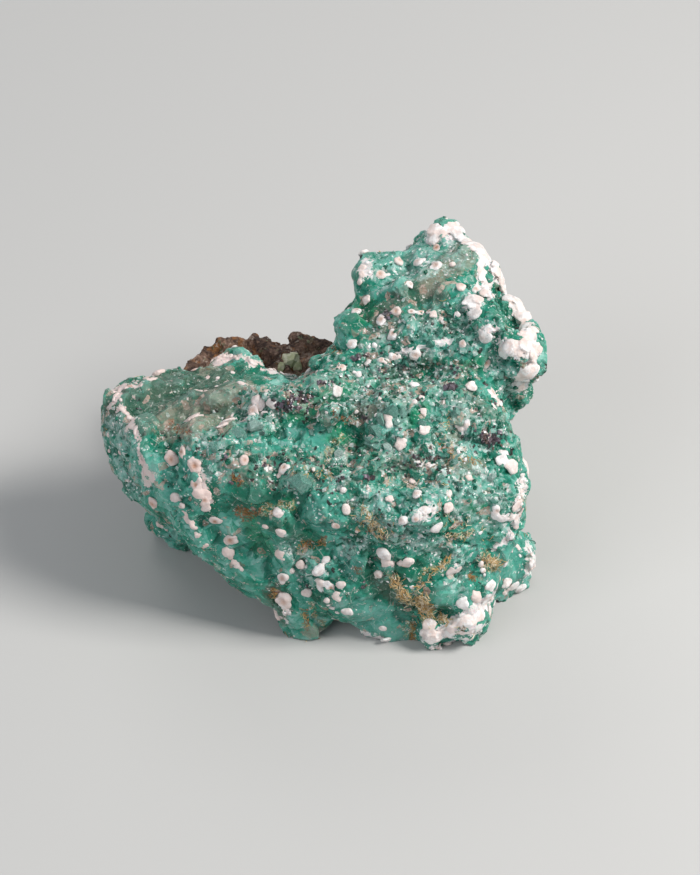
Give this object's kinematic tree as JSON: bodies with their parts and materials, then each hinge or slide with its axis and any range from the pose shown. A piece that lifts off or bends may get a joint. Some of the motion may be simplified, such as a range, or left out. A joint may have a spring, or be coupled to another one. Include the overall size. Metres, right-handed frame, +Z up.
{
  "type": "melanterite specimen",
  "caption": "Broken green crystalline melanterite hand specimen with white efflorescence crusts and a remnant of brown host rock behind, resting on its own uneven feet.",
  "frame": {"origin": "on the surface that the specimen rests on, under the middle of its bounding box", "axes": "+X along the length, towards the tall arm's side; +Y from the front to the back, where the host rock is; +Z up"},
  "size_m": [0.0612, 0.0516, 0.0412],
  "materials": {
    "melanterite": "translucent sea-green crystal, glassy to greasy on fresh cleavage faces and frosted on weathered ones",
    "efflorescence": "chalky white to pinkish crust, matt and powdery",
    "inclusions": "dark purple-brown grains with a dull metallic glint",
    "rust": "ochre to rust-brown fibrous and earthy staining",
    "host_rock": "rough brown weathered rock, matt"
  },
  "bodies": {
    "root": {"melanterite": "melanterite", "host_rock": "host_rock"}
  },
  "joints": []
}
